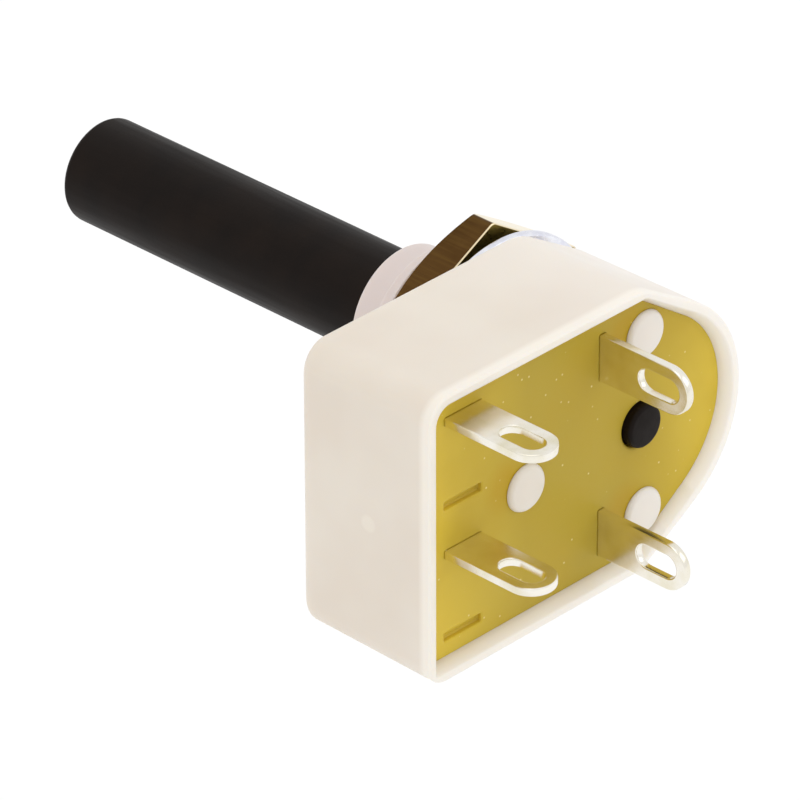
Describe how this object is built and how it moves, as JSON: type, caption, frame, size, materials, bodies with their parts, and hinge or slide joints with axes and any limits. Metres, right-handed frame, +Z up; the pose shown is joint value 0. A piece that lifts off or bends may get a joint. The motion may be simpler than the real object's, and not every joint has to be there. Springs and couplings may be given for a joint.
{
  "type": "rotary switch",
  "caption": "Rotary on/off switch with a plain round spindle, a threaded panel bush with hex nut and washer, a shield-shaped moulded housing and flat solder tags.",
  "frame": {"origin": "on the spindle axis, in the plane of the round seat that the back of the panel meets", "axes": "+Y runs along the spindle axis from the knob end through the panel to the solder tags, +X points from the spindle to the housing's flat end, +Z is up"},
  "size_m": [0.0247, 0.0482, 0.0176],
  "materials": {
    "ivory_nylon": "smooth moulded, satin",
    "yellow_plastic": "moulded, slightly translucent",
    "black_plastic": "moulded, satin",
    "bronze": "rolled strip",
    "nut_brass": "machined, dull",
    "zinc_steel": "zinc plated",
    "slider_nylon": "moulded",
    "spring_steel": "bright strip",
    "silver_plate": "silver plated brass strip",
    "contact_silver": "silver faced rivet"
  },
  "bodies": {
    "case": {"housing": "ivory_nylon", "cover": "yellow_plastic", "thrust_washer": "bronze", "detent_spring": "spring_steel", "fixed_terminal_upper": "silver_plate", "fixed_terminal_lower": "silver_plate", "common_terminal_upper": "silver_plate", "common_terminal_lower": "silver_plate", "fixed_contact_upper": "contact_silver", "fixed_contact_lower": "contact_silver", "blade_rivet_upper": "zinc_steel", "blade_rivet_lower": "zinc_steel"},
    "spindle": {"spindle": "black_plastic"},
    "slider": {"slider": "slider_nylon"},
    "blade_upper": {"blade_upper": "bronze", "moving_contact_upper": "contact_silver"},
    "blade_lower": {"blade_lower": "bronze", "moving_contact_lower": "contact_silver"},
    "washer": {"panel_washer": "zinc_steel"},
    "nut": {"panel_nut": "nut_brass"}
  },
  "joints": [
    {"name": "spindle_turn", "type": "hinge", "parent": "case", "child": "spindle", "pos_m": [0, 0, 0], "axis": [0, 1, 0], "range_deg": [0, 90], "deforming": ["detent_spring"]},
    {"name": "slider_lift", "type": "slide", "parent": "case", "child": "slider", "axis": [0, 0, 1], "range_m": [0, 0.00123]},
    {"name": "blade_upper_swing", "type": "hinge", "parent": "case", "child": "blade_upper", "pos_m": [0.0042, 0.00695, 0.00458], "axis": [0, -1, 0], "range_deg": [0, 11.34]},
    {"name": "blade_lower_swing", "type": "hinge", "parent": "case", "child": "blade_lower", "pos_m": [0.0042, 0.00695, -0.00364], "axis": [0, -1, 0], "range_deg": [0, 11.34]},
    {"name": "washer_slide", "type": "slide", "parent": "case", "child": "washer", "axis": [0, -1, 0], "range_m": [0, 0.006]},
    {"name": "nut_turn", "type": "hinge", "parent": "washer", "child": "nut", "pos_m": [0, -0.0022, 0], "axis": [0, -1, 0], "range_deg": [0, 2881]}
  ],
  "couplings": [
    {"joint": "spindle_turn", "follows": "slider_lift", "rad_per_m": 1276.7},
    {"joint": "blade_upper_swing", "follows": "slider_lift", "rad_per_m": 160.77},
    {"joint": "blade_lower_swing", "follows": "slider_lift", "rad_per_m": 160.77},
    {"joint": "nut_turn", "follows": "washer_slide", "rad_per_m": 8377.6}
  ]
}
